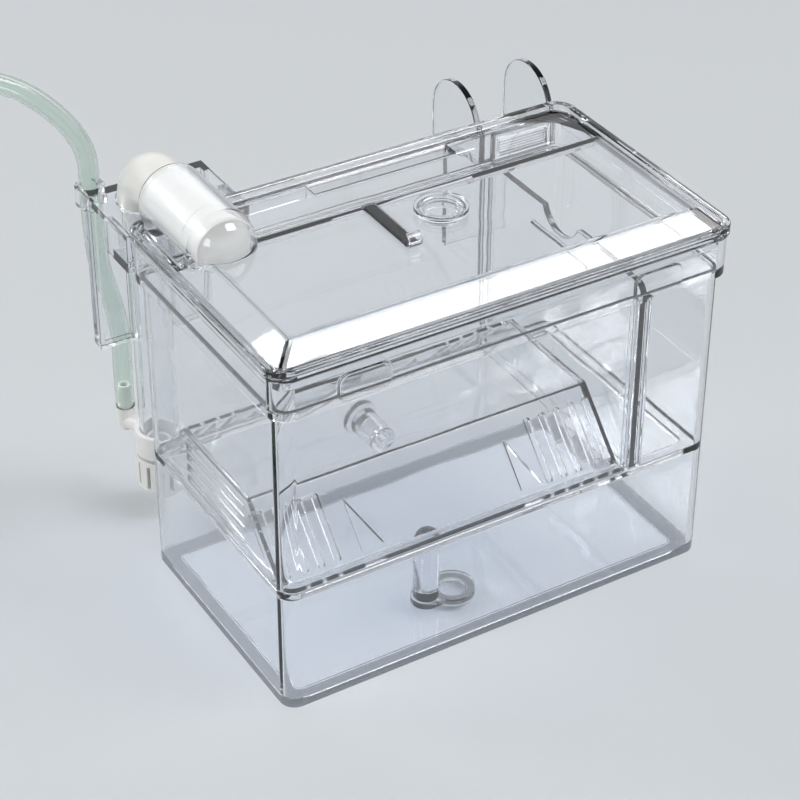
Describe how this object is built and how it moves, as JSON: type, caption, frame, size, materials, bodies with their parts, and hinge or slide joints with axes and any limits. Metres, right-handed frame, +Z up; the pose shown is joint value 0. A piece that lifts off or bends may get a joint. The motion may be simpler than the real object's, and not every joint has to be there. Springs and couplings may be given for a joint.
{
  "type": "hang-on fish breeding box",
  "caption": "Clear hang-on breeding box for fish with a slotted fry tray, a divider, a raised lid, an air-lift elbow, a tank hook and a return spout.",
  "frame": {"origin": "middle of the base, on the surface the box stands on, midway from the lid's front edge to the back of the hook's hose clip", "axes": "+X along the tank's wall towards the return spout, +Y towards the tank, +Z up"},
  "size_m": [0.3032, 0.1438, 0.151],
  "materials": {
    "clear_styrene": "clear moulded polystyrene, polished",
    "white_abs": "white moulded plastic, glossy",
    "soft_seal": "soft, matt",
    "soft_pvc": "soft clear hose with a faint green tint"
  },
  "bodies": {
    "box": {"box_body": "clear_styrene", "overflow_grille": "clear_styrene", "return_spout": "clear_styrene", "tank_hook": "clear_styrene", "elbow": "white_abs", "flow_nozzle": "white_abs", "lift_tube": "clear_styrene", "air_barb": "white_abs", "airline_hose": "soft_pvc", "hose_coil": "soft_pvc"},
    "lid": {"lid": "clear_styrene", "lift_tab": "clear_styrene"},
    "feed_plug": {"feed_plug": "clear_styrene"},
    "divider": {"chamber_divider": "clear_styrene"},
    "tray": {"fry_tray": "clear_styrene"},
    "drain_plug": {"drain_plug": "clear_styrene", "plug_post": "clear_styrene", "plug_seal": "soft_seal"},
    "strainer": {"intake_strainer": "white_abs"},
    "level_foot": {"level_foot": "clear_styrene"}
  },
  "joints": [
    {"name": "lid_lift", "type": "slide", "parent": "box", "child": "lid", "axis": [0, 0, 1], "range_m": [0, 0.06]},
    {"name": "feed_plug_lift", "type": "slide", "parent": "lid", "child": "feed_plug", "axis": [0, 0, 1], "range_m": [0, 0.02]},
    {"name": "divider_lift", "type": "slide", "parent": "box", "child": "divider", "axis": [0, 0, 1], "range_m": [0, 0.008]},
    {"name": "tray_lift", "type": "slide", "parent": "box", "child": "tray", "axis": [0, 0, 1], "range_m": [0, 0.045]},
    {"name": "drain_plug_lift", "type": "slide", "parent": "box", "child": "drain_plug", "axis": [0, 0, 1], "range_m": [0, 0.012]},
    {"name": "strainer_pull", "type": "slide", "parent": "box", "child": "strainer", "axis": [0, 0, -1], "range_m": [0, 0.008]},
    {"name": "foot_slide", "type": "slide", "parent": "box", "child": "level_foot", "axis": [0, 1, 0], "range_m": [0, 0.006]}
  ]
}
